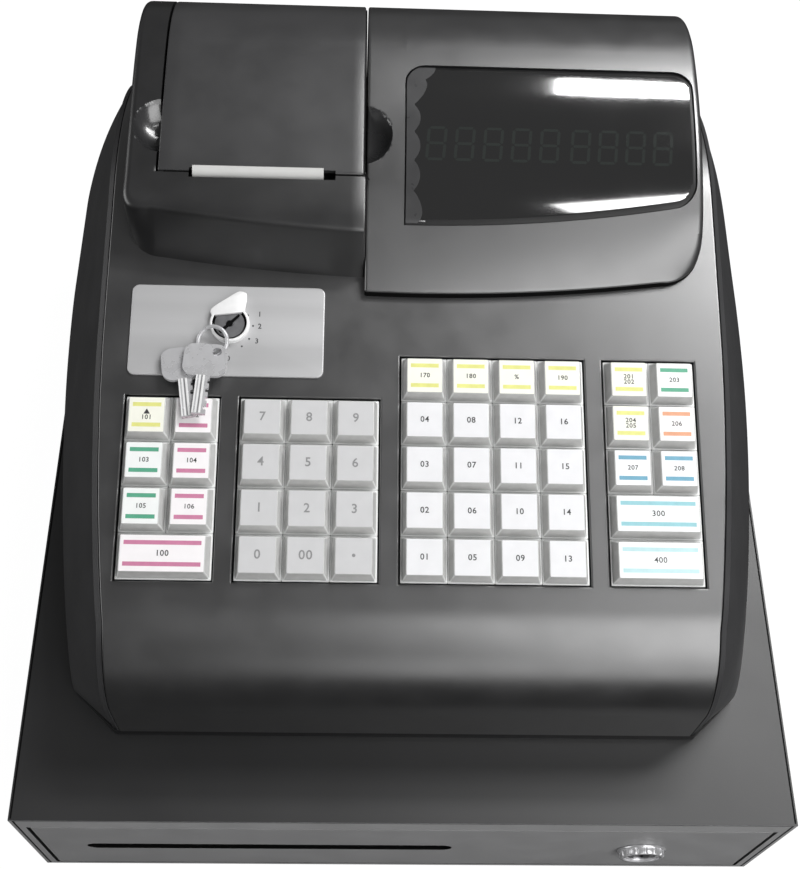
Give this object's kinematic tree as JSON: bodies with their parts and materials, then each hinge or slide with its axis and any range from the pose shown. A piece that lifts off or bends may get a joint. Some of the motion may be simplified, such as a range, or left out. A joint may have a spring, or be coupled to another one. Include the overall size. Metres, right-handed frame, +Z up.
{
  "type": "cash register",
  "caption": "Counter-top electronic cash register with keyboard, operator display, receipt printer, mode lock and a steel cash drawer underneath.",
  "frame": {"origin": "centre of the bounding box on the counter surface", "axes": "+X to the right, the drawer opens towards -Y, +Z up"},
  "size_m": [0.33, 0.364, 0.228],
  "materials": {
    "case_paint": "fine textured black paint",
    "front_paint": "fine textured grey-black paint",
    "foot_rubber": "matt black rubber",
    "nylon": "off-white nylon",
    "zinc_sheet": "zinc plated sheet",
    "tray_plastic": "black moulded plastic",
    "clip_steel": "black sprung steel",
    "lock_chrome": "polished chrome",
    "lock_steel": "satin steel",
    "latch_steel": "yellow zinc plated steel",
    "spring_steel": "bright spring wire",
    "base_plastic": "black moulded plastic",
    "shell_plastic": "fine textured black plastic",
    "cheek_plastic": "fine textured black plastic",
    "hood_plastic": "fine textured black plastic",
    "lens_plastic": "glossy smoked plastic",
    "circuit_board": "green solder resist",
    "inner_plastic": "dark grey moulded plastic",
    "platen_rubber": "black rubber",
    "receipt_paper": "white thermal paper",
    "plate_aluminium": "brushed silver plate",
    "key_chrome": "nickel plated key steel",
    "key_cap": "clear cap over a printed label"
  },
  "bodies": {
    "base": {"drawer_case": "case_paint", "rubber_feet": "foot_rubber", "ejector_spring": "spring_steel", "base_pan": "base_plastic", "top_shell": "shell_plastic", "side_cheek_left": "cheek_plastic", "side_cheek_right": "cheek_plastic", "printer_hood": "hood_plastic", "display_hood": "hood_plastic", "display_window": "lens_plastic", "display_board": "circuit_board", "printer_mechanism": "inner_plastic", "label_plate": "plate_aluminium", "mode_lock_collar": "lock_chrome", "key_deck": "inner_plastic", "main_board": "circuit_board"},
    "drawer": {"drawer_front": "front_paint", "drawer_box": "zinc_sheet", "cash_tray": "tray_plastic", "drawer_lock_collar": "lock_chrome"},
    "front_rollers": {"front_rollers": "nylon"},
    "printer_cover": {"printer_cover": "hood_plastic"},
    "platen_roller": {"platen_roller": "platen_rubber"},
    "paper_roll": {"paper_roll": "receipt_paper"},
    "mode_lock_barrel": {"mode_lock_barrel": "lock_steel"},
    "drawer_lock_barrel": {"drawer_lock_barrel": "lock_steel"},
    "bill_clips": {"bill_clips": "clip_steel"},
    "drawer_latch": {"drawer_latch": "latch_steel"},
    "keys_on_ring": {"keys_on_ring": "key_chrome"},
    "key_clear": {"key_clear": "key_cap"},
    "key_left_1": {"key_left_1": "key_cap"},
    "key_left_2": {"key_left_2": "key_cap"},
    "key_left_3": {"key_left_3": "key_cap"},
    "key_left_4": {"key_left_4": "key_cap"},
    "key_left_5": {"key_left_5": "key_cap"},
    "key_left_6": {"key_left_6": "key_cap"},
    "key_0": {"key_0": "key_cap"},
    "key_00": {"key_00": "key_cap"},
    "key_point": {"key_point": "key_cap"},
    "key_1": {"key_1": "key_cap"},
    "key_2": {"key_2": "key_cap"},
    "key_3": {"key_3": "key_cap"},
    "key_4": {"key_4": "key_cap"},
    "key_5": {"key_5": "key_cap"},
    "key_6": {"key_6": "key_cap"},
    "key_7": {"key_7": "key_cap"},
    "key_8": {"key_8": "key_cap"},
    "key_9": {"key_9": "key_cap"},
    "key_total": {"key_total": "key_cap"},
    "key_subtotal": {"key_subtotal": "key_cap"},
    "key_right_1": {"key_right_1": "key_cap"},
    "key_right_2": {"key_right_2": "key_cap"},
    "key_right_3": {"key_right_3": "key_cap"},
    "key_right_4": {"key_right_4": "key_cap"},
    "key_right_5": {"key_right_5": "key_cap"},
    "key_right_6": {"key_right_6": "key_cap"},
    "dept_keys_1": {"dept_keys_1": "key_cap"},
    "dept_keys_2": {"dept_keys_2": "key_cap"},
    "dept_keys_3": {"dept_keys_3": "key_cap"},
    "dept_keys_4": {"dept_keys_4": "key_cap"}
  },
  "joints": [
    {"name": "drawer_slide", "type": "slide", "parent": "base", "child": "drawer", "axis": [0, -1, 0], "range_m": [0, 0.24]},
    {"name": "printer_cover_hinge", "type": "hinge", "parent": "base", "child": "printer_cover", "pos_m": [-0.066, 0.17, 0.196], "axis": [-1, 0, 0], "range_deg": [0, 85]},
    {"name": "roller_spin", "type": "hinge", "parent": "base", "child": "front_rollers", "pos_m": [0, -0.154, 0.03], "axis": [1, 0, 0], "range_deg": [0, 1800]},
    {"name": "platen_spin", "type": "hinge", "parent": "base", "child": "platen_roller", "pos_m": [-0.0665, 0.05, 0.202], "axis": [1, 0, 0], "continuous": true},
    {"name": "paper_roll_spin", "type": "hinge", "parent": "base", "child": "paper_roll", "pos_m": [-0.0665, 0.12, 0.176], "axis": [1, 0, 0], "continuous": true},
    {"name": "mode_lock_turn", "type": "hinge", "parent": "base", "child": "mode_lock_barrel", "pos_m": [-0.0775, 0.00439, 0.18476], "axis": [0, 0.2147, -0.9767], "range_deg": [0, 90]},
    {"name": "drawer_lock_turn", "type": "hinge", "parent": "drawer", "child": "drawer_lock_barrel", "pos_m": [0.108, -0.168, 0.0405], "axis": [0, 1, 0], "range_deg": [0, 90]},
    {"name": "bill_clip_lift", "type": "hinge", "parent": "drawer", "child": "bill_clips", "pos_m": [0, 0.128, 0.062], "axis": [-1, 0, 0], "range_deg": [0, 27], "stiffness_Nm_per_rad": 0.12, "springref_deg": -34.38},
    {"name": "latch_turn", "type": "hinge", "parent": "base", "child": "drawer_latch", "pos_m": [0, 0.172, 0.034], "axis": [-1, 0, 0], "range_deg": [0, 16]},
    {"name": "key_ring_lift", "type": "slide", "parent": "base", "child": "keys_on_ring", "axis": [0, -0.2147, 0.9767], "range_m": [0, 0.06]},
    {"name": "key_clear_press", "type": "slide", "parent": "base", "child": "key_clear", "axis": [0, 0.2147, -0.9767], "range_m": [0, 0.003], "stiffness_N_per_m": 150, "springref_m": -0.0015},
    {"name": "key_left_1_press", "type": "slide", "parent": "base", "child": "key_left_1", "axis": [0, 0.2147, -0.9767], "range_m": [0, 0.003], "stiffness_N_per_m": 150, "springref_m": -0.0015},
    {"name": "key_left_2_press", "type": "slide", "parent": "base", "child": "key_left_2", "axis": [0, 0.2147, -0.9767], "range_m": [0, 0.003], "stiffness_N_per_m": 150, "springref_m": -0.0015},
    {"name": "key_left_3_press", "type": "slide", "parent": "base", "child": "key_left_3", "axis": [0, 0.2147, -0.9767], "range_m": [0, 0.003], "stiffness_N_per_m": 150, "springref_m": -0.0015},
    {"name": "key_left_4_press", "type": "slide", "parent": "base", "child": "key_left_4", "axis": [0, 0.2147, -0.9767], "range_m": [0, 0.003], "stiffness_N_per_m": 150, "springref_m": -0.0015},
    {"name": "key_left_5_press", "type": "slide", "parent": "base", "child": "key_left_5", "axis": [0, 0.2147, -0.9767], "range_m": [0, 0.003], "stiffness_N_per_m": 150, "springref_m": -0.0015},
    {"name": "key_left_6_press", "type": "slide", "parent": "base", "child": "key_left_6", "axis": [0, 0.2147, -0.9767], "range_m": [0, 0.003], "stiffness_N_per_m": 150, "springref_m": -0.0015},
    {"name": "key_0_press", "type": "slide", "parent": "base", "child": "key_0", "axis": [0, 0.2147, -0.9767], "range_m": [0, 0.003], "stiffness_N_per_m": 150, "springref_m": -0.0015},
    {"name": "key_00_press", "type": "slide", "parent": "base", "child": "key_00", "axis": [0, 0.2147, -0.9767], "range_m": [0, 0.003], "stiffness_N_per_m": 150, "springref_m": -0.0015},
    {"name": "key_point_press", "type": "slide", "parent": "base", "child": "key_point", "axis": [0, 0.2147, -0.9767], "range_m": [0, 0.003], "stiffness_N_per_m": 150, "springref_m": -0.0015},
    {"name": "key_1_press", "type": "slide", "parent": "base", "child": "key_1", "axis": [0, 0.2147, -0.9767], "range_m": [0, 0.003], "stiffness_N_per_m": 150, "springref_m": -0.0015},
    {"name": "key_2_press", "type": "slide", "parent": "base", "child": "key_2", "axis": [0, 0.2147, -0.9767], "range_m": [0, 0.003], "stiffness_N_per_m": 150, "springref_m": -0.0015},
    {"name": "key_3_press", "type": "slide", "parent": "base", "child": "key_3", "axis": [0, 0.2147, -0.9767], "range_m": [0, 0.003], "stiffness_N_per_m": 150, "springref_m": -0.0015},
    {"name": "key_4_press", "type": "slide", "parent": "base", "child": "key_4", "axis": [0, 0.2147, -0.9767], "range_m": [0, 0.003], "stiffness_N_per_m": 150, "springref_m": -0.0015},
    {"name": "key_5_press", "type": "slide", "parent": "base", "child": "key_5", "axis": [0, 0.2147, -0.9767], "range_m": [0, 0.003], "stiffness_N_per_m": 150, "springref_m": -0.0015},
    {"name": "key_6_press", "type": "slide", "parent": "base", "child": "key_6", "axis": [0, 0.2147, -0.9767], "range_m": [0, 0.003], "stiffness_N_per_m": 150, "springref_m": -0.0015},
    {"name": "key_7_press", "type": "slide", "parent": "base", "child": "key_7", "axis": [0, 0.2147, -0.9767], "range_m": [0, 0.003], "stiffness_N_per_m": 150, "springref_m": -0.0015},
    {"name": "key_8_press", "type": "slide", "parent": "base", "child": "key_8", "axis": [0, 0.2147, -0.9767], "range_m": [0, 0.003], "stiffness_N_per_m": 150, "springref_m": -0.0015},
    {"name": "key_9_press", "type": "slide", "parent": "base", "child": "key_9", "axis": [0, 0.2147, -0.9767], "range_m": [0, 0.003], "stiffness_N_per_m": 150, "springref_m": -0.0015},
    {"name": "key_total_press", "type": "slide", "parent": "base", "child": "key_total", "axis": [0, 0.2147, -0.9767], "range_m": [0, 0.003], "stiffness_N_per_m": 150, "springref_m": -0.0015},
    {"name": "key_subtotal_press", "type": "slide", "parent": "base", "child": "key_subtotal", "axis": [0, 0.2147, -0.9767], "range_m": [0, 0.003], "stiffness_N_per_m": 150, "springref_m": -0.0015},
    {"name": "key_right_1_press", "type": "slide", "parent": "base", "child": "key_right_1", "axis": [0, 0.2147, -0.9767], "range_m": [0, 0.003], "stiffness_N_per_m": 150, "springref_m": -0.0015},
    {"name": "key_right_2_press", "type": "slide", "parent": "base", "child": "key_right_2", "axis": [0, 0.2147, -0.9767], "range_m": [0, 0.003], "stiffness_N_per_m": 150, "springref_m": -0.0015},
    {"name": "key_right_3_press", "type": "slide", "parent": "base", "child": "key_right_3", "axis": [0, 0.2147, -0.9767], "range_m": [0, 0.003], "stiffness_N_per_m": 150, "springref_m": -0.0015},
    {"name": "key_right_4_press", "type": "slide", "parent": "base", "child": "key_right_4", "axis": [0, 0.2147, -0.9767], "range_m": [0, 0.003], "stiffness_N_per_m": 150, "springref_m": -0.0015},
    {"name": "key_right_5_press", "type": "slide", "parent": "base", "child": "key_right_5", "axis": [0, 0.2147, -0.9767], "range_m": [0, 0.003], "stiffness_N_per_m": 150, "springref_m": -0.0015},
    {"name": "key_right_6_press", "type": "slide", "parent": "base", "child": "key_right_6", "axis": [0, 0.2147, -0.9767], "range_m": [0, 0.003], "stiffness_N_per_m": 150, "springref_m": -0.0015},
    {"name": "dept_keys_1_press", "type": "slide", "parent": "base", "child": "dept_keys_1", "axis": [0, 0.2147, -0.9767], "range_m": [0, 0.003], "stiffness_N_per_m": 750, "springref_m": -0.0015},
    {"name": "dept_keys_2_press", "type": "slide", "parent": "base", "child": "dept_keys_2", "axis": [0, 0.2147, -0.9767], "range_m": [0, 0.003], "stiffness_N_per_m": 750, "springref_m": -0.0015},
    {"name": "dept_keys_3_press", "type": "slide", "parent": "base", "child": "dept_keys_3", "axis": [0, 0.2147, -0.9767], "range_m": [0, 0.003], "stiffness_N_per_m": 750, "springref_m": -0.0015},
    {"name": "dept_keys_4_press", "type": "slide", "parent": "base", "child": "dept_keys_4", "axis": [0, 0.2147, -0.9767], "range_m": [0, 0.003], "stiffness_N_per_m": 750, "springref_m": -0.0015}
  ],
  "couplings": [
    {"joint": "roller_spin", "follows": "drawer_slide", "rad_per_m": 125},
    {"joint": "paper_roll_spin", "follows": "platen_spin", "ratio": 0.25}
  ]
}
